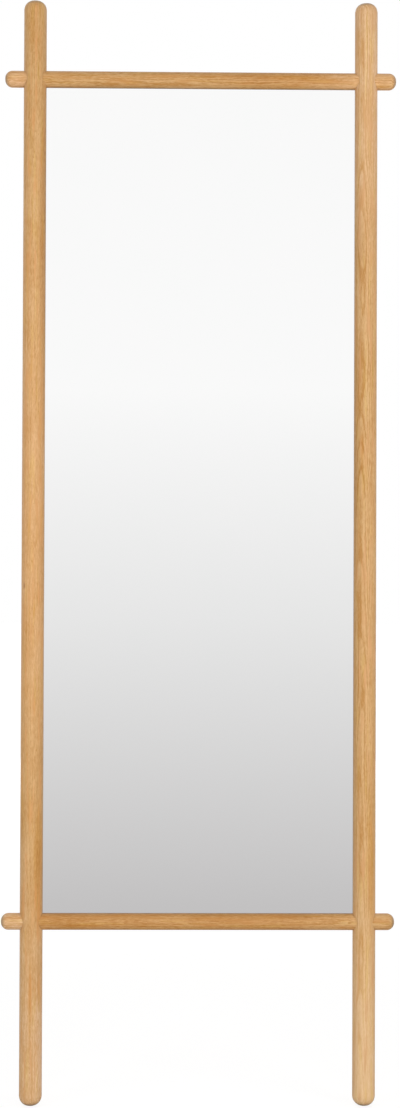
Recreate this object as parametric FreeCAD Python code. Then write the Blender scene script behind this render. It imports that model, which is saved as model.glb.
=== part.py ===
import FreeCAD, Part
import math
import os

from FreeCAD import Vector

# A full-length mirror in a frame of four round oak bars. Lengths are in millimetres.
# X runs across the mirror, the front faces -Y, and Z = 0 is where the legs meet the floor.
# Two uprights stand the full height. Two thinner rails pass through bores in them.

# Frame of round bars
overall_height = 1800.0
upright_diameter = 37.0
upright_foot_flat = 5.0  # across the small flat in the middle of the domed foot
upright_top_flat = 8.0  # across the flat of the domed top, which is squarer than the foot
upright_spacing = 542.0  # between the axes of the two uprights
rail_diameter = 27.0
rail_end_flat = 3.0
rail_length = 640.0
bottom_rail_height = 298.0  # from the floor to the rail's axis
top_rail_drop = 128.0  # from the top of the uprights to the rail's axis
glue_gap = 0.1  # all round each rail in its bore

# Mirror, in a rebate behind the bars whose front face lies on the plane of their axes
mirror_bite = 6.0  # depth of the rebate into the inner side of each bar
mirror_thickness = 4.0
mirror_clearance = 1.5  # at the sides and the top of the rebate
mirror_arris = 0.5  # the ground edge all round the glass
film_thickness = 0.2
film_margin = 3.0  # from the edge of the glass to the edge of the film

# Rubber packers that the glass stands on
packer_thickness = 1.5
packer_length = 30.0
packer_place_share = 0.25  # of the mirror's width, from its middle to each packer

# Foam strips between the glass and the board
tape_thickness = 1.0
tape_width = 25.0
tape_count = 4
tape_side_margin = 60.0  # from the side of the glass to the nearest strip's middle
tape_end_margin = 40.0

# Backing board, in a wider rebate behind the mirror's
board_bite = 14.0  # depth of this rebate into the inner side of each bar
board_thickness = 4.0
board_clearance = 1.0

# Pan-head screws that hold the board to the shoulder between the two rebates
board_screw_shank = 3.0
board_screw_head = 6.4
board_screw_length = 13.0
board_screw_side_count = 5
board_screw_rail_count = 3
board_screw_corner_inset = 110.0

# Countersunk screws from behind that lock each rail in its bore
joint_screw_shank = 4.0
joint_screw_head = 8.0
joint_screw_length = 24.0
joint_screw_offset = 4.0  # from the rail's axis, away from the mirror
joint_screw_sink = 0.5  # of the head below the back of the upright

# Keyhole plates let into the back of the uprights, for two screws in the wall
hanger_rise = 5.0  # from the top of the upper rail to the foot of the plate
hanger_length = 56.0
hanger_width = 18.0
hanger_thickness = 2.0
hanger_sink = 3.0  # of the plate's face below the back of the upright
hanger_pocket_gap = 0.15
hanger_screw_spacing = 40.0
hanger_screw_shank = 3.5
hanger_screw_head = 6.8
hanger_screw_length = 16.0
keyhole_entry_diameter = 10.0  # passes the wall screw's head
keyhole_slot_width = 5.0  # holds the wall screw's neck
keyhole_travel = 13.0  # from the entry's middle to the top of the slot's middle
keyhole_entry_drop = 7.0  # from the plate's middle down to the entry's middle
keyhole_room_width = 12.5  # hollow in the wood behind the plate, for the screw's head
keyhole_room_depth = 6.0

# Rubber bumpers let into the back of the uprights
bumper_diameter = 12.0
bumper_pocket_depth = 3.0
bumper_proud = 2.0  # past the back of the upright
bumper_bevel = 0.8
bumper_gap = 0.1
bottom_bumper_drop = 46.0  # from the lower rail's axis to the bumper's middle

# Screw forms shared by all sizes
screw_gap = 0.1  # all round each screw in its hole
pan_height_share = 0.32  # of the head's diameter
pan_rim_share = 0.35  # of the head's height that is straight-sided
cross_width_share = 0.13  # of the head's diameter
cross_span_share = 0.56  # of the head's diameter
cross_depth_share = 0.2  # of the head's diameter

# Every cut runs past the surface that it opens by this much
overrun = 5.0

FULL_TURN = 360.0
QUARTER_TURN = 90.0
DIAGONAL = math.sqrt(0.5)
UP = Vector(0, 0, 1)
RIGHT = Vector(1, 0, 0)
BACK = Vector(0, 1, 0)
ORIGIN = Vector(0, 0, 0)
SIDES = {"left": -1, "right": 1}

# Places worked out from the sizes above
upright_radius = upright_diameter / 2
rail_radius = rail_diameter / 2
upright_x = upright_spacing / 2
bottom_rail_z = bottom_rail_height
top_rail_z = overall_height - top_rail_drop
# The bumpers stand out behind, so the bars' axes lie forward of Y = 0 by half of that
# and the whole mirror is centred on it.
axis_y = -bumper_proud / 2
back_y = axis_y + upright_radius

mirror_rebate_x = upright_x - upright_radius + mirror_bite
mirror_rebate_bottom = bottom_rail_z + rail_radius - mirror_bite
mirror_rebate_top = top_rail_z - rail_radius + mirror_bite
mirror_half_width = mirror_rebate_x - mirror_clearance
mirror_bottom = mirror_rebate_bottom + packer_thickness
mirror_top = mirror_rebate_top - mirror_clearance
mirror_back_y = axis_y + mirror_thickness
film_back_y = mirror_back_y + film_thickness

board_y = film_back_y + tape_thickness
board_rebate_x = upright_x - upright_radius + board_bite
board_rebate_bottom = bottom_rail_z + rail_radius - board_bite
board_rebate_top = top_rail_z - rail_radius + board_bite
board_back_y = board_y + board_thickness
shoulder_middle = (mirror_bite + board_bite) / 2

hanger_foot_z = top_rail_z + rail_radius + hanger_rise
hanger_z = hanger_foot_z + hanger_length / 2
hanger_face_y = back_y - hanger_sink
hanger_floor_y = hanger_face_y - hanger_thickness
keyhole_entry_z = hanger_z - keyhole_entry_drop

# The upper bumper lies midway between the plate and the domed end.
upright_dome = upright_radius - upright_top_flat / 2
bumper_floor_y = back_y - bumper_pocket_depth
top_bumper_z = (hanger_foot_z + hanger_length + overall_height - upright_dome) / 2
bottom_bumper_z = bottom_rail_z - bottom_bumper_drop


def straight(points):
    """Straight edges from each point to the next."""
    return [Part.LineSegment(a, b).toShape() for a, b in zip(points, points[1:])]


def closed(points):
    """Straight edges through all the points and back to the first."""
    return straight(points + points[:1])


def arc(start, through, end):
    return Part.Arc(start, through, end).toShape()


def turned(edges):
    """A solid turned about Z from the closed half outline that the edges make in the XZ plane."""
    return Part.Face(Part.Wire(edges)).revolve(ORIGIN, UP, FULL_TURN)


def at(radius, height):
    """A point of a half outline that is turned about Z."""
    return Vector(radius, 0, height)


def box_between(low, high):
    size = high - low
    return Part.makeBox(size.x, size.y, size.z, low)


def carve(solid, cutters):
    for cutter in cutters:
        solid = solid.cut(cutter)
    return solid


def upright_slot(width, travel, depth, x, front_y, low_z):
    """A slot with round ends that runs up from low_z by the travel, from front_y back by the depth."""
    half = width / 2
    high_z = low_z + travel
    bottom = [
        Vector(x - half, front_y, low_z),
        Vector(x, front_y, low_z - half),
        Vector(x + half, front_y, low_z),
    ]
    top = [
        Vector(x + half, front_y, high_z),
        Vector(x, front_y, high_z + half),
        Vector(x - half, front_y, high_z),
    ]
    edges = [arc(*bottom)] + straight([bottom[2], top[0]])
    edges += [arc(*top)] + straight([top[2], bottom[0]])
    return Part.Face(Part.Wire(edges)).extrude(BACK * depth)


# Round bars


def round_bar(diameter, length, low_flat, high_flat):
    """A bar that stands on the origin, each end domed round a small flat of the given width."""
    radius = diameter / 2
    low_edge = low_flat / 2
    low_dome = radius - low_edge
    low_lean = low_dome * DIAGONAL
    high_edge = high_flat / 2
    high_dome = radius - high_edge
    high_lean = high_dome * DIAGONAL
    foot = arc(
        at(low_edge, 0),
        at(low_edge + low_lean, low_dome - low_lean),
        at(radius, low_dome),
    )
    side = straight([at(radius, low_dome), at(radius, length - high_dome)])
    tip = arc(
        at(radius, length - high_dome),
        at(high_edge + high_lean, length - high_dome + high_lean),
        at(high_edge, length),
    )
    core = straight([at(high_edge, length), at(0, length), at(0, 0), at(low_edge, 0)])
    return turned([foot] + side + [tip] + core)


def rebates():
    """The stepped space behind the four bars: the mirror's rebate, and the board's wider one."""
    mirror_rebate = box_between(
        Vector(-mirror_rebate_x, axis_y, mirror_rebate_bottom),
        Vector(mirror_rebate_x, back_y + overrun, mirror_rebate_top),
    )
    board_rebate = box_between(
        Vector(-board_rebate_x, board_y, board_rebate_bottom),
        Vector(board_rebate_x, back_y + overrun, board_rebate_top),
    )
    return [mirror_rebate, board_rebate]


def rail_bore(height):
    """The bore through both uprights at one rail."""
    length = upright_spacing + upright_diameter + 2 * overrun
    start = Vector(-length / 2, axis_y, height)
    return Part.makeCylinder(rail_radius + glue_gap, length, start, RIGHT)


def make_upright(side):
    bar = round_bar(upright_diameter, overall_height, upright_foot_flat, upright_top_flat)
    if side < 0:
        bar.rotate(ORIGIN, UP, FULL_TURN / 2)
    bar.translate(Vector(side * upright_x, axis_y, 0))
    cutters = [rail_bore(bottom_rail_z), rail_bore(top_rail_z)]
    cutters += rebates() + joint_screw_holes() + board_screw_holes()
    cutters += hanger_cuts(side) + bumper_pockets(side)
    return carve(bar, cutters)


def make_rail(height, outward):
    """A rail along X. Outward is 1 for the top rail and -1 for the bottom one."""
    bar = round_bar(rail_diameter, rail_length, rail_end_flat, rail_end_flat)
    bar.translate(Vector(0, 0, -rail_length / 2))
    bar.rotate(ORIGIN, BACK, -outward * QUARTER_TURN)
    bar.translate(Vector(0, axis_y, height))
    return carve(bar, rebates() + joint_screw_holes() + board_screw_holes())


# Screws, driven from behind: each is made along +Z with its seat at the origin, then laid along -Y


def drive(shape, place):
    """Turn a shape made along +Z so that it points forward, and move its seat to a place."""
    shape.rotate(ORIGIN, RIGHT, QUARTER_TURN)
    shape.translate(place)
    return shape


def cross_recess(head, top):
    """The cross that a screwdriver fits, cut down from the top of a head."""
    half_width = head * cross_width_share / 2
    half_span = head * cross_span_share / 2
    floor = top + head * cross_depth_share
    one = box_between(
        Vector(-half_span, -half_width, top - overrun), Vector(half_span, half_width, floor)
    )
    other = box_between(
        Vector(-half_width, -half_span, top - overrun), Vector(half_width, half_span, floor)
    )
    return [one, other]


def pan_screw(shank, head, length):
    """A screw whose domed head stands on its seat, with a pointed shank below."""
    radius = shank / 2
    rim = head / 2
    height = head * pan_height_share
    straight_part = height * pan_rim_share
    rise = height - straight_part
    dome = (rim**2 + rise**2) / (2 * rise)
    half_angle = math.asin(rim / dome) / 2
    shoulder = at(dome * math.sin(half_angle), -height + dome * (1 - math.cos(half_angle)))
    edges = [arc(at(0, -height), shoulder, at(rim, -straight_part))]
    edges += straight(
        [
            at(rim, -straight_part),
            at(rim, 0),
            at(radius, 0),
            at(radius, length - shank),
            at(0, length),
            at(0, -height),
        ]
    )
    return carve(turned(edges), cross_recess(head, -height))


def countersunk_screw(shank, head, length):
    """A screw whose conical head lies level with its seat, with a pointed shank below."""
    radius = shank / 2
    rim = head / 2
    cone = rim - radius
    edges = closed(
        [at(0, 0), at(rim, 0), at(radius, cone), at(radius, length - shank), at(0, length)]
    )
    return carve(turned(edges), cross_recess(head, 0))


def countersunk_hole(shank, head, length):
    """The hole that a countersunk screw fills, open past its seat."""
    radius = shank / 2 + screw_gap
    rim = head / 2 + screw_gap
    cone = rim - radius
    mouth = [at(0, -overrun), at(rim, -overrun), at(rim, 0)]
    shaft = [at(radius, cone), at(radius, length), at(0, length)]
    return turned(closed(mouth + shaft))


def spread(low, high, count):
    """Evenly spaced values, the first and last at the two limits."""
    if count == 1:
        return [(low + high) / 2]
    return [low + (high - low) * i / (count - 1) for i in range(count)]


def board_screw_places():
    """Seats on the back of the board, over the middle of the shoulder all round."""
    side_x = upright_x - upright_radius + shoulder_middle
    low_z = board_rebate_bottom + board_screw_corner_inset
    high_z = board_rebate_top - board_screw_corner_inset
    heights = spread(low_z, high_z, board_screw_side_count)
    places = [Vector(s * side_x, board_back_y, z) for s in SIDES.values() for z in heights]
    end_x = board_rebate_x - board_screw_corner_inset
    across = spread(-end_x, end_x, board_screw_rail_count)
    bottom_z = bottom_rail_z + rail_radius - shoulder_middle
    top_z = top_rail_z - rail_radius + shoulder_middle
    return places + [Vector(x, board_back_y, z) for z in (bottom_z, top_z) for x in across]


def board_screw_holes():
    radius = board_screw_shank / 2 + screw_gap
    return [
        Part.makeCylinder(radius, board_screw_length, place, -BACK)
        for place in board_screw_places()
    ]


def joint_screw_places():
    """Seats in the back of the uprights, one at each crossing."""
    heights = [bottom_rail_z - joint_screw_offset, top_rail_z + joint_screw_offset]
    seat_y = back_y - joint_screw_sink
    return [Vector(s * upright_x, seat_y, z) for s in SIDES.values() for z in heights]


def joint_screw_holes():
    return [
        drive(countersunk_hole(joint_screw_shank, joint_screw_head, joint_screw_length), place)
        for place in joint_screw_places()
    ]


def hanger_screw_places(side):
    heights = [hanger_z - hanger_screw_spacing / 2, hanger_z + hanger_screw_spacing / 2]
    return [Vector(side * upright_x, hanger_face_y, z) for z in heights]


def hanger_screw_holes(side):
    return [
        drive(countersunk_hole(hanger_screw_shank, hanger_screw_head, hanger_screw_length), place)
        for place in hanger_screw_places(side)
    ]


def make_board_screws():
    return [
        drive(pan_screw(board_screw_shank, board_screw_head, board_screw_length), place)
        for place in board_screw_places()
    ]


def make_joint_screws():
    return [
        drive(countersunk_screw(joint_screw_shank, joint_screw_head, joint_screw_length), place)
        for place in joint_screw_places()
    ]


def make_hanger_screws():
    return [
        drive(countersunk_screw(hanger_screw_shank, hanger_screw_head, hanger_screw_length), place)
        for side in SIDES.values()
        for place in hanger_screw_places(side)
    ]


# Mirror and what lies behind it


def make_mirror():
    """The silvered glass, with the edges of its two faces ground."""
    pane = box_between(
        Vector(-mirror_half_width, axis_y, mirror_bottom),
        Vector(mirror_half_width, mirror_back_y, mirror_top),
    )
    face_edges = [e for e in pane.Edges if e.Length > 2 * mirror_thickness]
    return pane.makeChamfer(mirror_arris, face_edges)


def make_film():
    return box_between(
        Vector(-mirror_half_width + film_margin, mirror_back_y, mirror_bottom + film_margin),
        Vector(mirror_half_width - film_margin, film_back_y, mirror_top - film_margin),
    )


def make_packer(side):
    middle = side * 2 * mirror_half_width * packer_place_share
    return box_between(
        Vector(middle - packer_length / 2, axis_y, mirror_rebate_bottom),
        Vector(middle + packer_length / 2, mirror_back_y, mirror_bottom),
    )


def make_tape_strips():
    end_x = mirror_half_width - tape_side_margin
    return [
        box_between(
            Vector(x - tape_width / 2, film_back_y, mirror_bottom + tape_end_margin),
            Vector(x + tape_width / 2, board_y, mirror_top - tape_end_margin),
        )
        for x in spread(-end_x, end_x, tape_count)
    ]


def make_board():
    board = box_between(
        Vector(-board_rebate_x + board_clearance, board_y, board_rebate_bottom + board_clearance),
        Vector(board_rebate_x - board_clearance, board_back_y, board_rebate_top - board_clearance),
    )
    return carve(board, board_screw_holes())


# Keyhole plates


def hanger_outline(side, gap, front_y, depth):
    """The plate's own shape with a gap all round, from front_y back by the depth."""
    travel = hanger_length - hanger_width
    width = hanger_width + 2 * gap
    return upright_slot(width, travel, depth, side * upright_x, front_y, hanger_z - travel / 2)


def make_hanger_plate(side):
    plate = hanger_outline(side, 0, hanger_floor_y, hanger_thickness)
    front_y = hanger_floor_y - overrun
    depth = hanger_thickness + 2 * overrun
    entry = Part.makeCylinder(
        keyhole_entry_diameter / 2,
        depth,
        Vector(side * upright_x, front_y, keyhole_entry_z),
        BACK,
    )
    neck = upright_slot(
        keyhole_slot_width, keyhole_travel, depth, side * upright_x, front_y, keyhole_entry_z
    )
    return carve(plate, [entry, neck] + hanger_screw_holes(side))


def hanger_cuts(side):
    """Pocket for the plate, the hollow behind its keyhole, and its screws' holes."""
    pocket = hanger_outline(
        side, hanger_pocket_gap, hanger_floor_y, hanger_thickness + hanger_sink + overrun
    )
    room = upright_slot(
        keyhole_room_width,
        keyhole_travel,
        keyhole_room_depth + overrun,
        side * upright_x,
        hanger_floor_y - keyhole_room_depth,
        keyhole_entry_z,
    )
    return [pocket, room] + hanger_screw_holes(side)


# Bumpers


def bumper_place(side, height):
    return Vector(side * upright_x, bumper_floor_y, height)


def make_bumper(side, height):
    """A rubber disc that stands in its pocket, its outer edge bevelled."""
    radius = bumper_diameter / 2
    tall = bumper_pocket_depth + bumper_proud
    foot = [at(0, 0), at(radius, 0)]
    face = [at(radius, tall - bumper_bevel), at(radius - bumper_bevel, tall), at(0, tall)]
    disc = turned(closed(foot + face))
    disc.rotate(ORIGIN, RIGHT, -QUARTER_TURN)
    disc.translate(bumper_place(side, height))
    return disc


def bumper_pockets(side):
    radius = bumper_diameter / 2 + bumper_gap
    depth = bumper_pocket_depth + overrun
    return [
        Part.makeCylinder(radius, depth, bumper_place(side, height), BACK)
        for height in (bottom_bumper_z, top_bumper_z)
    ]


# Named pieces


def all_pieces():
    pieces = {
        "left_upright": make_upright(SIDES["left"]),
        "right_upright": make_upright(SIDES["right"]),
        "top_rail": make_rail(top_rail_z, 1),
        "bottom_rail": make_rail(bottom_rail_z, -1),
        "mirror_pane": make_mirror(),
        "safety_film": make_film(),
        "backing_board": make_board(),
        "board_screws": Part.makeCompound(make_board_screws()),
        "joint_screws": Part.makeCompound(make_joint_screws()),
        "hanger_screws": Part.makeCompound(make_hanger_screws()),
    }
    for i, strip in enumerate(make_tape_strips()):
        pieces[f"tape_strip_{i + 1}"] = strip
    for name, side in SIDES.items():
        pieces[f"packer_{name}"] = make_packer(side)
        pieces[f"hanger_plate_{name}"] = make_hanger_plate(side)
        pieces[f"bumper_bottom_{name}"] = make_bumper(side, bottom_bumper_z)
        pieces[f"bumper_top_{name}"] = make_bumper(side, top_bumper_z)
    return pieces


os.makedirs("parts", exist_ok=True)
for name, piece in all_pieces().items():
    piece.exportStep(f"parts/{name}.step")
    print(name, len(piece.Solids), "solids", piece.isValid())
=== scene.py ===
"""Looks of a full-length mirror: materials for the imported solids, a pale studio and the camera.

Everything is in metres and in the CAD model's frame: X to the right, Y away from the viewer, Z up.
"""

import math
import bpy
from mathutils import Matrix, Vector

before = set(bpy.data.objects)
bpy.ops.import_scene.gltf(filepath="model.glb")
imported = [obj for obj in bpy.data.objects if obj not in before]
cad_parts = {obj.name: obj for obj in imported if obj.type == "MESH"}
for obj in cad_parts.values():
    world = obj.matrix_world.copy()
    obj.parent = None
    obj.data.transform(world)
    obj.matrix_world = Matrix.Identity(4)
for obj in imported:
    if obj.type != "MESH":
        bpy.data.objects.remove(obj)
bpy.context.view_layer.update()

MILLIMETRE = 0.001

# Where the bars stand and how thick they are, as in the CAD model.
upright_place = 0.271
upright_radius = 0.0185
rail_radius = 0.0135
bottom_rail_height = 0.298
top_rail_height = 1.672
bar_depth = -0.001

# The photograph's longer side in pixels and the camera that took it, from a fit to the bars' edges.
photo_height = 1108
focal_pixels = 1837.0
camera_place = (-0.041, -3.0, 0.860)
camera_turn = math.radians(0.81)
camera_rise = math.radians(0.70)
camera_roll = math.radians(0.218)
sensor_millimetres = 36.0

# Light levels: 1 lights a surface that faces the lamp so that its colour renders as written.
ambient_level = 0.38
front_level = 0.33
left_level = 0.18
right_level = 0.27
back_level = 0.50
lamps_aim = (0.0, 0.0, 0.95)

# What the mirror sees: a plain floor, faintly mauve grey by the object and paler with distance, and
# white higher up.
near_grey = (0.39, 0.375, 0.38, 1.0)
far_grey = (0.83, 0.83, 0.83, 1.0)

# What the camera sees of the floor: a glow that stays a little under white near the object, so that
# the object's shadow shows faintly on it.
near_glow = 0.87
far_glow = 1.0
near_glow_reach = 2.0
far_glow_reach = 8.0

floor_half = 30.0
black = (0.0, 0.0, 0.0, 1.0)
white = (1.0, 1.0, 1.0, 1.0)


def linear(red, green, blue):
    """A colour as an image shows it, from 0 to 255, as the shader takes it."""
    made = []
    for level in (red, green, blue):
        share = level / 255
        made.append(share / 12.92 if share < 0.04045 else ((share + 0.055) / 1.055) ** 2.4)
    return (*made, 1.0)


def grey(level):
    return (level, level, level, 1.0)


def node(tree, kind, **settings):
    made = tree.nodes.new(kind)
    for name, value in settings.items():
        setattr(made, name, value)
    return made


def put(tree, value, socket):
    """Joins a socket to the value's socket, or sets the plain value on it."""
    if isinstance(value, bpy.types.NodeSocket):
        tree.links.new(value, socket)
    else:
        socket.default_value = value


def maths(tree, operation, *values, clamp=False):
    made = node(tree, "ShaderNodeMath", operation=operation, use_clamp=clamp)
    for value, socket in zip(values, made.inputs):
        put(tree, value, socket)
    return made.outputs[0]


def length(tree, vector):
    made = node(tree, "ShaderNodeVectorMath", operation="LENGTH")
    put(tree, vector, made.inputs[0])
    return made.outputs["Value"]


def split(tree, vector):
    made = node(tree, "ShaderNodeSeparateXYZ")
    tree.links.new(vector, made.inputs[0])
    return made.outputs


def joined(tree, *parts):
    made = node(tree, "ShaderNodeCombineXYZ")
    for part, socket in zip(parts, made.inputs):
        put(tree, part, socket)
    return made.outputs[0]


def surface_normal(tree):
    return split(tree, node(tree, "ShaderNodeNewGeometry").outputs["Normal"])


def stretched(tree, place, scale, move=(0.0, 0.0, 0.0), turn=(0.0, 0.0, 0.0)):
    """The place stretched, then turned, then moved."""
    made = node(tree, "ShaderNodeMapping")
    put(tree, place, made.inputs["Vector"])
    made.inputs["Location"].default_value = move
    made.inputs["Rotation"].default_value = turn
    made.inputs["Scale"].default_value = scale
    return made.outputs[0]


def noise(tree, place, detail=2.0, roughness=0.5, distortion=0.0):
    made = node(tree, "ShaderNodeTexNoise")
    put(tree, place, made.inputs["Vector"])
    made.inputs["Scale"].default_value = 1.0
    made.inputs["Detail"].default_value = detail
    made.inputs["Roughness"].default_value = roughness
    made.inputs["Distortion"].default_value = distortion
    return made.outputs[0]


def cells(tree, place):
    made = node(tree, "ShaderNodeTexVoronoi")
    put(tree, place, made.inputs["Vector"])
    made.inputs["Scale"].default_value = 1.0
    return made.outputs["Distance"]


def between(tree, value, low, high, to_low=0.0, to_high=1.0, way="SMOOTHSTEP"):
    """A step from one level to another as the value goes from low to high."""
    made = node(tree, "ShaderNodeMapRange", interpolation_type=way)
    put(tree, value, made.inputs["Value"])
    made.inputs["From Min"].default_value = low
    made.inputs["From Max"].default_value = high
    made.inputs["To Min"].default_value = to_low
    made.inputs["To Max"].default_value = to_high
    return made.outputs["Result"]


def ramp(tree, value, stops):
    made = node(tree, "ShaderNodeValToRGB")
    put(tree, value, made.inputs[0])
    points = made.color_ramp.elements
    while len(points) < len(stops):
        points.new(0.5)
    for point, (place, colour) in zip(points, stops):
        point.position = place
        point.color = colour if isinstance(colour, tuple) else grey(colour)
    return made.outputs[0]


def blended(tree, share, first, second, way="MIX"):
    made = node(tree, "ShaderNodeMix", data_type="RGBA", blend_type=way)
    colours = [socket for socket in made.inputs if socket.type == "RGBA"]
    put(tree, share, made.inputs[0])
    put(tree, first, colours[0])
    put(tree, second, colours[1])
    return [socket for socket in made.outputs if socket.type == "RGBA"][0]


def raised(tree, height, strength, depth):
    made = node(tree, "ShaderNodeBump")
    put(tree, height, made.inputs["Height"])
    made.inputs["Strength"].default_value = strength
    made.inputs["Distance"].default_value = depth
    return made.outputs[0]


def ray_kinds(tree):
    """1 for rays from the camera or through glass, and 1 for rays that a mirror sends on."""
    path = node(tree, "ShaderNodeLightPath").outputs
    seen = maths(tree, "MAXIMUM", path["Is Camera Ray"], path["Is Transmission Ray"])
    first = maths(tree, "LESS_THAN", path["Diffuse Depth"], 0.5)
    mirrored = maths(tree, "MULTIPLY", path["Is Glossy Ray"], first)
    return seen, mirrored


def new_material(name):
    """A material's node tree, its shader and the place on the object, in metres."""
    material = bpy.data.materials.new(name)
    material.use_nodes = True
    tree = material.node_tree
    shader = tree.nodes["Principled BSDF"]
    place = node(tree, "ShaderNodeTexCoord").outputs["Object"]
    return material, tree, shader, place


def finish_shader(tree, shader, colour, roughness, bump, **settings):
    put(tree, colour, shader.inputs["Base Color"])
    put(tree, roughness, shader.inputs["Roughness"])
    put(tree, bump, shader.inputs["Normal"])
    for name, value in settings.items():
        put(tree, value, shader.inputs[name.replace("_", " ")])


def crease(tree, place, along, centres, radius):
    """Where the painted shade in a crease goes: 1 at the line where a crossing bar meets this one, fading to
    0 within a few millimetres.
    """
    x, y, z = split(tree, place)
    run = x if along == "X" else z
    depth = maths(tree, "SUBTRACT", y, bar_depth)
    shade = None
    for centre in centres:
        offset = maths(tree, "SUBTRACT", run, centre)
        away = length(tree, joined(tree, offset, depth, 0.0))
        near = between(tree, away, radius + 0.2 * MILLIMETRE, radius + 3.5 * MILLIMETRE, 1.0, 0.0)
        shade = near if shade is None else maths(tree, "MAXIMUM", shade, near)
    return shade


def drift(tree, run, tones):
    """The bar's own colour and the strength of its grain, which change slowly between places in metres."""
    low = tones[0][0]
    high = tones[-1][0]
    share = between(tree, run, low, high, way="LINEAR")
    stops = []
    for place, tone, strength in tones:
        red, green, blue, _ = linear(*tone)
        stops.append(((place - low) / (high - low), (red, green, blue, strength)))
    made = ramp(tree, share, stops).node
    made.color_ramp.interpolation = "EASE"
    return made.outputs["Color"], made.outputs["Alpha"]


def stains_and_painted_shade(tree, wood, across, run, ragged, patches):
    """Long patches of another tone along the grain, whose outlines the grain breaks up. Some of them are
    painted shade, and one is painted light, on one side of a bar.
    """
    for side, place, half_width, half_length, tone, strength in patches:
        offset = maths(tree, "MULTIPLY_ADD", across, 1 / half_width, -side / half_width)
        further = maths(tree, "MULTIPLY_ADD", run, 1 / half_length, -place / half_length)
        away = length(tree, joined(tree, offset, further, 0.0))
        share = between(tree, maths(tree, "ADD", away, ragged), 0.35, 1.0, strength, 0.0)
        wood = blended(tree, share, wood, tone, "MULTIPLY")
    return wood


def oak(
    name, along, middle, inner, pith, tilt, figure, ray_scale, rings, tones, blush, patches, crossings,
    crossing_radius, seed
):
    """Light oiled oak, as a solid: growth rings round a pith outside the bar, rays, fibres and pores.

    along is the bar's own axis and middle its place, and inner the sign of the side where the glass is.
    pith is how far the rings' centre lies from the bar's axis, across and in depth, and tilt how it leans.
    figure is the depth of the rings' waves, rings their strength and blush the tone of the broad bands.
    """
    material, tree, shader, place = new_material(name)
    x, y, z = split(tree, place)
    if along == "Z":
        across, depth, run = x, y, z
    else:
        across, depth, run = z, y, x
    across = maths(tree, "SUBTRACT", across, middle)
    depth = maths(tree, "SUBTRACT", depth, bar_depth)
    inside = joined(tree, across, depth, run)
    shift = (seed * 3.17, seed * 1.91, seed * 0.73)
    other_shift = (shift[1], shift[0], 5.0)

    # Growth rings, tilted a little to the bar and wavy.
    ring_width = 2.7 * MILLIMETRE
    ripple_depth = 3 * MILLIMETRE
    wave = noise(tree, stretched(tree, inside, (15, 15, 3.4), shift), 1.0)
    ripple = noise(tree, stretched(tree, inside, (60, 60, 14), shift), 1.0)
    slope_across = maths(tree, "MULTIPLY_ADD", run, tilt[0], maths(tree, "ADD", across, pith[0]))
    slope_depth = maths(tree, "MULTIPLY_ADD", run, tilt[1], maths(tree, "ADD", depth, pith[1]))
    radius = length(tree, joined(tree, slope_across, slope_depth, 0.0))
    radius = maths(tree, "MULTIPLY_ADD", wave, figure, radius)
    radius = maths(tree, "MULTIPLY_ADD", ripple, ripple_depth, radius)
    ring = maths(tree, "FRACT", maths(tree, "DIVIDE", radius, ring_width))
    pores_by_ring = [(0.0, 0.55), (0.10, 1.0), (0.30, 0.45), (0.60, 0.05), (0.90, 0.0), (1.0, 0.55)]
    porous = ramp(tree, ring, pores_by_ring)

    # Streaks along the grain, from broad bands down to short dashes and single fibres.
    band = noise(tree, stretched(tree, inside, (170, 170, 15), shift))
    gold = noise(tree, stretched(tree, inside, (210, 210, 13), other_shift))
    streak = noise(tree, stretched(tree, inside, (340, 340, 10), shift), 3.0, 0.6)
    dash = noise(tree, stretched(tree, inside, (760, 760, 105), shift), 2.0, 0.6)
    fibre = noise(tree, stretched(tree, inside, (2300, 2300, 120), shift), 3.0, 0.6)
    cloud = noise(tree, stretched(tree, inside, (40, 40, 16), shift))
    ray = between(tree, noise(tree, stretched(tree, inside, ray_scale, shift), 1.0, 0.4), 0.60, 0.72)
    spot = noise(tree, stretched(tree, inside, (3000, 3000, 230), shift), 1.0, 0.4)
    spot = between(tree, spot, 0.58, 0.68)
    pore = maths(tree, "MULTIPLY", spot, maths(tree, "MULTIPLY_ADD", porous, 0.8, 0.2))
    fleck = noise(tree, stretched(tree, inside, (880, 880, 190), shift), 1.0, 0.4)
    fleck = between(tree, fleck, 0.67, 0.77)

    # Their weighted sum, less its usual level, picks between pale and dark grain.
    usual_level = 2.33 + 0.35 * rings
    pale_grain = (1.16, 1.28, 1.52, 1.0)
    dark_grain = (0.86, 0.73, 0.50, 1.0)
    golden_grain = (1.00, 1.02, 0.82, 1.0)
    share = maths(tree, "MULTIPLY", porous, rings)
    weights = ((streak, 1.3), (dash, 1.9), (fibre, 0.6), (cloud, 0.8), (pore, 0.4), (ray, -0.2), (fleck, 0.6))
    for part, weight in weights:
        share = maths(tree, "MULTIPLY_ADD", part, weight, share)
    own_colour, strength = drift(tree, run, tones)
    share = maths(tree, "SUBTRACT", share, usual_level)
    share = maths(tree, "MULTIPLY_ADD", share, strength, 0.5, clamp=True)
    grain = blended(tree, share, pale_grain, dark_grain)
    wood = blended(tree, 1.0, own_colour, grain, "MULTIPLY")
    wood = blended(tree, between(tree, band, 0.50, 0.70, 0.0, 0.65), wood, blush)
    wood = blended(tree, between(tree, gold, 0.52, 0.70, 0.0, 0.80), wood, golden_grain, "MULTIPLY")
    ragged = maths(tree, "MULTIPLY_ADD", streak, 1.6, -0.8)
    wood = stains_and_painted_shade(tree, wood, across, run, ragged, patches)

    # End grain on the domes is a little deeper in tone. The grey ring where the dome turns is painted shade.
    facing = maths(tree, "ABSOLUTE", surface_normal(tree)[0 if along == "X" else 2])
    end_grain = between(tree, facing, 0.60, 1.0, 0.0, 0.15)
    wood = blended(tree, end_grain, wood, linear(150, 104, 62))
    painted_rim_shade = ramp(tree, facing, [(0.48, 0.0), (0.78, 0.42), (0.92, 0.40), (1.0, 0.16)])
    wood = blended(tree, painted_rim_shade, wood, linear(114, 101, 85))
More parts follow.
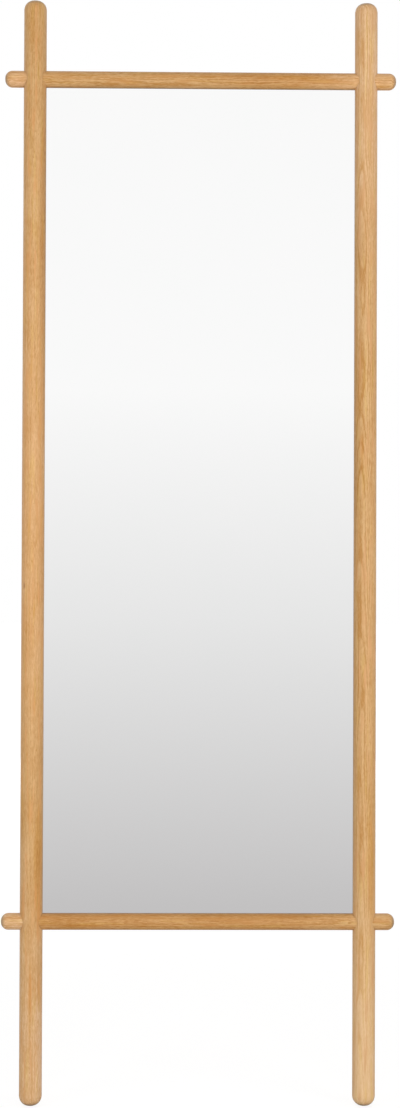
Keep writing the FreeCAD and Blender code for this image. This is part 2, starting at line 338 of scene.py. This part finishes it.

    # Painted shade, very slight, in the crease where two bars meet.
    painted_crease_shade = maths(tree, "MULTIPLY", crease(tree, place, along, crossings, crossing_radius), 0.06)
    wood = blended(tree, painted_crease_shade, wood, linear(110, 74, 44))

    # A fine dark line of painted shadow where the bar meets the glass: the shadow of the gap at the glass's
    # edge.
    first, last = crossings
    beside = maths(tree, "COMPARE", run, (first + last) / 2, (last - first) / 2)
    inward = maths(tree, "GREATER_THAN", maths(tree, "MULTIPLY", across, inner), 0.0)
    near = between(tree, maths(tree, "ABSOLUTE", depth), 0.4 * MILLIMETRE, 2.6 * MILLIMETRE, 0.75, 0.0)
    line = maths(tree, "MULTIPLY", maths(tree, "MULTIPLY", beside, inward), near)
    wood = blended(tree, line, wood, linear(84, 58, 36))

    roughness = maths(tree, "MULTIPLY_ADD", streak, 0.16, maths(tree, "MULTIPLY_ADD", pore, 0.12, 0.32))
    height = maths(tree, "MULTIPLY_ADD", fibre, 0.35, maths(tree, "MULTIPLY", pore, -1.0))
    height = maths(tree, "MULTIPLY_ADD", porous, -0.30, height)
    bump = raised(tree, height, 0.25, 0.12 * MILLIMETRE)
    finish_shader(tree, shader, wood, roughness, bump, Specular_IOR_Level=0.3)
    return material


def silvered_glass(name):
    """The pane: a mirror in front, green glass at its edges and grey paint behind."""
    material, tree, shader, place = new_material(name)
    outward = surface_normal(tree)[1]
    front = between(tree, outward, -0.95, -0.80, 1.0, 0.0)
    behind = between(tree, outward, 0.80, 0.95)
    haze = noise(tree, stretched(tree, place, (9, 9, 9)), 3.0)
    ripple = noise(tree, stretched(tree, place, (2.4, 2.4, 1.6)), 1.0, 0.4)
    silver = ramp(tree, haze, [(0.3, (0.945, 0.947, 0.945, 1.0)), (0.7, (0.950, 0.949, 0.948, 1.0))])
    glass = ramp(tree, haze, [(0.3, linear(96, 138, 124)), (0.7, linear(120, 160, 146))])
    paint = ramp(tree, haze, [(0.3, linear(112, 116, 118)), (0.7, linear(128, 130, 131))])
    colour = blended(tree, behind, glass, paint)
    colour = blended(tree, front, colour, silver)
    polish = maths(tree, "MULTIPLY_ADD", haze, 0.006, 0.004)
    dull = maths(tree, "MULTIPLY_ADD", behind, 0.45, 0.12)
    roughness = node(tree, "ShaderNodeMix")
    put(tree, front, roughness.inputs[0])
    put(tree, dull, roughness.inputs[2])
    put(tree, polish, roughness.inputs[3])
    bump = raised(tree, ripple, 0.02, 0.5 * MILLIMETRE)
    finish_shader(tree, shader, colour, roughness.outputs[0], bump, Metallic=front)
    return material


def frosted_film(name):
    material, tree, shader, place = new_material(name)
    crinkle = noise(tree, stretched(tree, place, (55, 55, 14)), 4.0, 0.6, 0.6)
    grain = noise(tree, stretched(tree, place, (2600, 2600, 2600)))
    colour = ramp(tree, crinkle, [(0.35, linear(226, 231, 236)), (0.65, linear(236, 239, 242))])
    roughness = maths(tree, "MULTIPLY_ADD", grain, 0.2, 0.35)
    height = maths(tree, "MULTIPLY_ADD", grain, 0.15, crinkle)
    finish_shader(tree, shader, colour, roughness, raised(tree, height, 0.15, 0.3 * MILLIMETRE))
    return material


def hardboard(name):
    """Brown hardboard: felted fibres, dark specks and a pressed, faintly shiny face."""
    material, tree, shader, place = new_material(name)
    felt = noise(tree, stretched(tree, place, (620, 620, 520)), 6.0, 0.65, 0.9)
    long_place = stretched(tree, place, (2400, 900, 260), turn=(0.0, 0.5, 0.0))
    long_fibre = noise(tree, long_place, 3.0, 0.55, 1.2)
    cross_place = stretched(tree, place, (260, 900, 2400), turn=(0.0, -0.4, 0.0))
    cross_fibre = noise(tree, cross_place, 3.0, 0.55, 1.2)
    speck = between(tree, noise(tree, stretched(tree, place, (1500, 1500, 1500)), 1.0), 0.70, 0.78)
    cloud = noise(tree, stretched(tree, place, (9, 9, 6)), 3.0, 0.55)
    browns = [(0.28, linear(136, 100, 68)), (0.50, linear(160, 121, 84)), (0.72, linear(181, 143, 103))]
    colour = ramp(tree, felt, browns)
    light_fibre = between(tree, long_fibre, 0.60, 0.74, 0.0, 0.45)
    colour = blended(tree, light_fibre, colour, linear(202, 168, 126))
    dark_fibre = between(tree, cross_fibre, 0.60, 0.74, 0.0, 0.35)
    colour = blended(tree, dark_fibre, colour, linear(112, 80, 54))
    colour = blended(tree, maths(tree, "MULTIPLY", speck, 0.55), colour, linear(78, 54, 38))
    colour = blended(tree, between(tree, cloud, 0.35, 0.75, 0.0, 0.22), colour, linear(128, 92, 62))
    sawn = between(tree, maths(tree, "ABSOLUTE", surface_normal(tree)[1]), 0.4, 0.8, 0.5, 0.0)
    colour = blended(tree, sawn, colour, linear(120, 84, 56))
    roughness = maths(tree, "MULTIPLY_ADD", felt, 0.22, maths(tree, "MULTIPLY_ADD", cloud, 0.12, 0.36))
    height = maths(tree, "MULTIPLY_ADD", long_fibre, 0.5, felt)
    finish_shader(tree, shader, colour, roughness, raised(tree, height, 0.25, 0.12 * MILLIMETRE))
    return material


def zinc(name):
    material, tree, shader, place = new_material(name)
    tint = noise(tree, stretched(tree, place, (160, 160, 160)), 3.0, 0.6)
    mark = noise(tree, stretched(tree, place, (5200, 5200, 1400)), 3.0, 0.6)
    tints = [(0.30, linear(196, 203, 212)), (0.52, linear(216, 216, 212)), (0.74, linear(214, 206, 182))]
    colour = ramp(tree, tint, tints)
    colour = blended(tree, between(tree, mark, 0.55, 0.75, 0.0, 0.35), colour, linear(150, 150, 148))
    roughness = maths(tree, "MULTIPLY_ADD", mark, 0.25, 0.20)
    finish_shader(tree, shader, colour, roughness, raised(tree, mark, 0.20, 0.05 * MILLIMETRE), Metallic=1.0)
    return material


def nickel(name):
    """Nickel plate on pressed steel, brushed along its length."""
    material, tree, shader, place = new_material(name)
    brush = noise(tree, stretched(tree, place, (5200, 5200, 70)), 4.0, 0.65)
    cloud = noise(tree, stretched(tree, place, (70, 70, 30)), 3.0)
    scratch = noise(tree, stretched(tree, place, (2600, 2600, 120), turn=(0, 0.6, 0)), 1.0)
    scratch = between(tree, scratch, 0.74, 0.80)
    colour = ramp(tree, brush, [(0.30, linear(176, 174, 170)), (0.70, linear(208, 206, 200))])
    colour = blended(tree, between(tree, cloud, 0.4, 0.8, 0.0, 0.25), colour, linear(186, 178, 160))
    colour = blended(tree, maths(tree, "MULTIPLY", scratch, 0.5), colour, linear(232, 232, 230))
    roughness = maths(tree, "MULTIPLY_ADD", brush, 0.22, 0.20)
    finish_shader(tree, shader, colour, roughness, raised(tree, brush, 0.18, 0.05 * MILLIMETRE), Metallic=1.0)
    return material


def foam(name):
    material, tree, shader, place = new_material(name)
    cell = cells(tree, stretched(tree, place, (2600, 2600, 2600)))
    soft = noise(tree, stretched(tree, place, (300, 300, 300)), 3.0)
    colour = ramp(tree, cell, [(0.1, linear(214, 213, 208)), (0.5, linear(244, 243, 239))])
    colour = blended(tree, between(tree, soft, 0.4, 0.8, 0.0, 0.3), colour, linear(228, 224, 212))
    roughness = maths(tree, "MULTIPLY_ADD", soft, 0.15, 0.78)
    finish_shader(tree, shader, colour, roughness, raised(tree, cell, 0.5, 0.2 * MILLIMETRE))
    return material


def rubber(name, base, worn):
    material, tree, shader, place = new_material(name)
    grain = noise(tree, stretched(tree, place, (3400, 3400, 3400)), 3.0, 0.6)
    dust = noise(tree, stretched(tree, place, (240, 240, 240)), 4.0, 0.6)
    colour = blended(tree, between(tree, dust, 0.42, 0.75, 0.0, 0.6), base, worn)
    colour = blended(tree, between(tree, grain, 0.35, 0.75, 0.0, 0.25), colour, worn)
    roughness = maths(tree, "MULTIPLY_ADD", dust, 0.18, maths(tree, "MULTIPLY_ADD", grain, 0.12, 0.58))
    finish_shader(tree, shader, colour, roughness, raised(tree, grain, 0.35, 0.1 * MILLIMETRE))
    return material


def oak_bars():
    """Each bar's own oak. A tone is a place along the bar, a colour and the strength of the grain. A
    patch is its place across and along the bar, its half width and half length, a tint and a strength.
    Some patches are painted shade or painted light, as marked."""
    rails = (bottom_rail_height, top_rail_height)
    uprights = (-upright_place, upright_place)
    rays_flat_on = (60, 1300, 85)
    rays_edge_on = (1300, 60, 85)
    sapwood = (235, 195, 145)
    light_oak = (225, 180, 130)
    golden_oak = (220, 170, 115)
    honey_oak = (210, 163, 106)
    deep_oak = (200, 147, 87)
    deeper_tone_and_shade = (0.87, 0.80, 0.68, 1.0)
    ruddy_tone_and_shade = (0.93, 0.83, 0.62, 1.0)
    paler_tone_and_light = (1.06, 1.10, 1.22, 1.0)
    mark = (0.62, 0.50, 0.40, 1.0)
    return {
        "left_upright": oak(
            "oak_left", along="Z", middle=-upright_place, inner=1, pith=(0.085, 0.020), tilt=(0.012, 0.004),
            figure=0.009, ray_scale=rays_flat_on, rings=0.25,
            tones=[
                (0.0, light_oak, 0.9), (0.45, honey_oak, 0.9), (0.9, golden_oak, 0.8), (1.8, honey_oak, 1.0),
            ],
            blush=linear(224, 164, 104),
            patches=[
                # Painted shade: the deeper patch high on the inner side by the glass, and the ruddy patch on
                # the inner side above the bottom rail.
                (0.016, 1.42, 0.010, 0.28, deeper_tone_and_shade, 0.8), (0.011, 0.40, 0.008, 0.14, ruddy_tone_and_shade, 1.0),
                (0.014, 0.10, 0.009, 0.11, paler_tone_and_light, 1.0), (0.000, 0.17, 0.003, 0.10, ruddy_tone_and_shade, 0.8),
                (-0.010, 0.38, 0.008, 0.12, paler_tone_and_light, 0.5), (-0.004, 1.75, 0.006, 0.05, ruddy_tone_and_shade, 0.7),
                (-0.013, 0.844, 0.0016, 0.008, mark, 0.9),
            ],
            crossings=rails, crossing_radius=rail_radius, seed=1.0,
        ),
        "right_upright": oak(
            "oak_right", along="Z", middle=upright_place, inner=-1, pith=(0.020, 0.060), tilt=(0.012, 0.010),
            figure=0.024, ray_scale=rays_edge_on, rings=0.75,
            tones=[
                (0.0, sapwood, 0.3), (0.5, honey_oak, 0.9), (1.2, honey_oak, 1.0), (1.7, light_oak, 0.8),
            ],
            blush=linear(222, 167, 114),
            patches=[
                # Painted shade: the ruddy patch on the outer side above the bottom rail, and the deeper
                # patches on the inner side by the glass.
                (0.009, 0.385, 0.007, 0.13, ruddy_tone_and_shade, 1.0), (-0.016, 1.05, 0.009, 0.24, deeper_tone_and_shade, 0.6),
                (-0.006, 1.07, 0.003, 0.05, ruddy_tone_and_shade, 1.0), (-0.007, 1.38, 0.009, 0.07, deeper_tone_and_shade, 0.6),
                (0.013, 1.62, 0.007, 0.12, paler_tone_and_light, 0.6),
            ],
            crossings=rails, crossing_radius=rail_radius, seed=2.0,
        ),
        "top_rail": oak(
            "oak_top", along="X", middle=top_rail_height, inner=-1, pith=(0.050, 0.050), tilt=(0.010, 0.006),
            figure=0.012, ray_scale=rays_edge_on, rings=0.50,
            tones=[
                (-0.29, golden_oak, 1.3), (-0.25, honey_oak, 1.3), (-0.08, honey_oak, 1.3),
                (0.12, deep_oak, 1.3), (0.29, golden_oak, 1.6),
            ],
            blush=linear(210, 150, 86),
            patches=[
                # Painted shade: the deeper patch along the underside by the glass. Painted light: the paler
                # patch on the lower side of the left end.
                (-0.014, -0.13, 0.007, 0.12, deeper_tone_and_shade, 0.5), (0.002, 0.15, 0.006, 0.07, ruddy_tone_and_shade, 0.7),
                (0.006, 0.21, 0.006, 0.03, paler_tone_and_light, 0.8), (-0.008, -0.305, 0.009, 0.030, paler_tone_and_light, 1.0),
            ],
            crossings=uprights, crossing_radius=upright_radius, seed=3.0,
        ),
        "bottom_rail": oak(
            "oak_bottom", along="X", middle=bottom_rail_height, inner=1, pith=(0.060, 0.030),
            tilt=(0.008, 0.006), figure=0.012, ray_scale=rays_flat_on, rings=0.40,
            tones=[
                (-0.29, light_oak, 1.2), (-0.25, deep_oak, 1.2),
                (0.15, deep_oak, 1.2), (0.29, honey_oak, 1.5),
            ],
            blush=linear(202, 142, 78),
            patches=[
                (-0.005, -0.19, 0.004, 0.05, ruddy_tone_and_shade, 1.0), (0.005, 0.02, 0.004, 0.06, ruddy_tone_and_shade, 0.6),
                (0.010, 0.16, 0.004, 0.05, deeper_tone_and_shade, 0.7),
            ],
            crossings=uprights, crossing_radius=upright_radius, seed=4.0,
        ),
    }


def dress_pieces():
    """Each CAD node takes the material of its slot."""
    materials = oak_bars()
    materials["mirror_pane"] = silvered_glass("silvered_glass")
    materials["safety_film"] = frosted_film("frosted_film")
    materials["backing_board"] = hardboard("hardboard")
    materials["board_screws"] = zinc("zinc_plate")
    materials["tape_strip"] = foam("white_foam")
    materials["hanger_plate"] = nickel("nickel_plate")
    materials["packer"] = rubber("packer_rubber", linear(34, 34, 35), linear(66, 65, 64))
    materials["bumper"] = rubber("bumper_rubber", linear(52, 50, 48), linear(88, 86, 83))
    materials["joint_screws"] = materials["board_screws"]
    materials["hanger_screws"] = materials["board_screws"]
    for name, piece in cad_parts.items():
        kind = max((key for key in materials if name.startswith(key)), key=len)
        for slot in piece.material_slots:
            slot.material = materials[kind]


def make_camera():
    forward = Vector((
        math.sin(camera_turn) * math.cos(camera_rise),
        math.cos(camera_turn) * math.cos(camera_rise),
        math.sin(camera_rise),
    ))
    level_right = Vector((math.cos(camera_turn), -math.sin(camera_turn), 0.0))
    level_up = level_right.cross(forward)
    right = level_right * math.cos(camera_roll) + level_up * math.sin(camera_roll)
    up = level_up * math.cos(camera_roll) - level_right * math.sin(camera_roll)
    lens = bpy.data.cameras.new("camera")
    lens.sensor_width = sensor_millimetres
    lens.lens = focal_pixels * sensor_millimetres / photo_height
    camera = bpy.data.objects.new("camera", lens)
    bpy.context.scene.collection.objects.link(camera)
    turned = Matrix((right, up, -forward)).transposed().to_4x4()
    camera.matrix_world = Matrix.Translation(camera_place) @ turned
    bpy.context.scene.camera = camera


def soft_lamp(name, place, width, height, level):
    """A large soft panel that lights a white surface facing it, at lamps_aim, to that level."""
    lamp = bpy.data.lights.new(name, "AREA")
    lamp.shape = "RECTANGLE"
    lamp.size = width
    lamp.size_y = height
    towards = Vector(lamps_aim) - Vector(place)
    lamp.energy = level * math.pi**2 * towards.length_squared
    piece = bpy.data.objects.new(name, lamp)
    piece.location = place
    piece.rotation_euler = towards.to_track_quat("-Z", "Y").to_euler()
    piece.visible_camera = False
    piece.visible_glossy = False
    bpy.context.scene.collection.objects.link(piece)


def make_lamps():
    soft_lamp("front_panel", place=(0.0, -3.6, 1.15), width=2.2, height=1.8, level=front_level)
    soft_lamp("left_panel", place=(-2.2, -2.2, 1.0), width=1.4, height=1.8, level=left_level)
    soft_lamp("right_panel", place=(2.2, -2.2, 1.0), width=1.4, height=1.8, level=right_level)
    soft_lamp("back_panel", place=(0.0, 5.5, 1.8), width=3.0, height=3.0, level=back_level)


def make_world():
    """White for the camera, a soft level for lighting, and for reflections white that greys downwards."""
    world = bpy.data.worlds.new("studio")
    world.use_nodes = True
    bpy.context.scene.world = world
    tree = world.node_tree
    background = tree.nodes["Background"]
    seen, mirrored = ray_kinds(tree)

    # The share is a half on the horizon and 1 where the ray rises by a tenth of its length.
    rise = split(tree, node(tree, "ShaderNodeTexCoord").outputs["Generated"])[2]
    share = maths(tree, "MULTIPLY_ADD", rise, 5.0, 0.5)
    reflected = ramp(tree, share, [(0.37, far_grey), (1.0, white)])
    colour = blended(tree, mirrored, grey(ambient_level), reflected)
    colour = blended(tree, seen, colour, white)
    put(tree, colour, background.inputs["Color"])
    background.inputs["Strength"].default_value = 1.0


def floor_material():
    """The camera sees it as white with the object's faint shadow on it, and the mirror sees it grey near
    the object and paler with distance."""
    material = bpy.data.materials.new("pale_floor")
    material.use_nodes = True
    tree = material.node_tree
    tree.nodes.remove(tree.nodes["Principled BSDF"])
    output = tree.nodes["Material Output"]
    seen, mirrored = ray_kinds(tree)
    away = length(tree, node(tree, "ShaderNodeTexCoord").outputs["Object"])

    # The nearness is 1 between the feet, a half at this distance and 0.09 at the floor's edge.
    half_distance = 3.0
    nearness = maths(tree, "DIVIDE", half_distance, maths(tree, "ADD", away, half_distance))
    reflected = ramp(tree, nearness, [(0.09, far_grey), (1.0, near_grey)])

    glow = between(tree, away, near_glow_reach, far_glow_reach, near_glow, far_glow)
    glow = blended(tree, mirrored, maths(tree, "MULTIPLY", glow, seen), reflected)
    paint = blended(tree, seen, grey(0.60), grey(0.20))
    paint = blended(tree, mirrored, paint, black)
    emission = node(tree, "ShaderNodeEmission")
    put(tree, glow, emission.inputs["Color"])
    diffuse = node(tree, "ShaderNodeBsdfDiffuse")
    put(tree, paint, diffuse.inputs["Color"])
    both = node(tree, "ShaderNodeAddShader")
    put(tree, emission.outputs[0], both.inputs[0])
    put(tree, diffuse.outputs[0], both.inputs[1])
    put(tree, both.outputs[0], output.inputs["Surface"])
    return material


def make_floor():
    corners = [
        (-floor_half, -floor_half, 0.0), (floor_half, -floor_half, 0.0),
        (floor_half, floor_half, 0.0), (-floor_half, floor_half, 0.0),
    ]
    mesh = bpy.data.meshes.new("floor")
    mesh.from_pydata(corners, [], [(0, 1, 2, 3)])
    floor = bpy.data.objects.new("floor", mesh)
    bpy.context.scene.collection.objects.link(floor)
    mesh.materials.append(floor_material())


bpy.context.scene.view_settings.view_transform = "Standard"
dress_pieces()
make_world()
make_lamps()
make_floor()
make_camera()
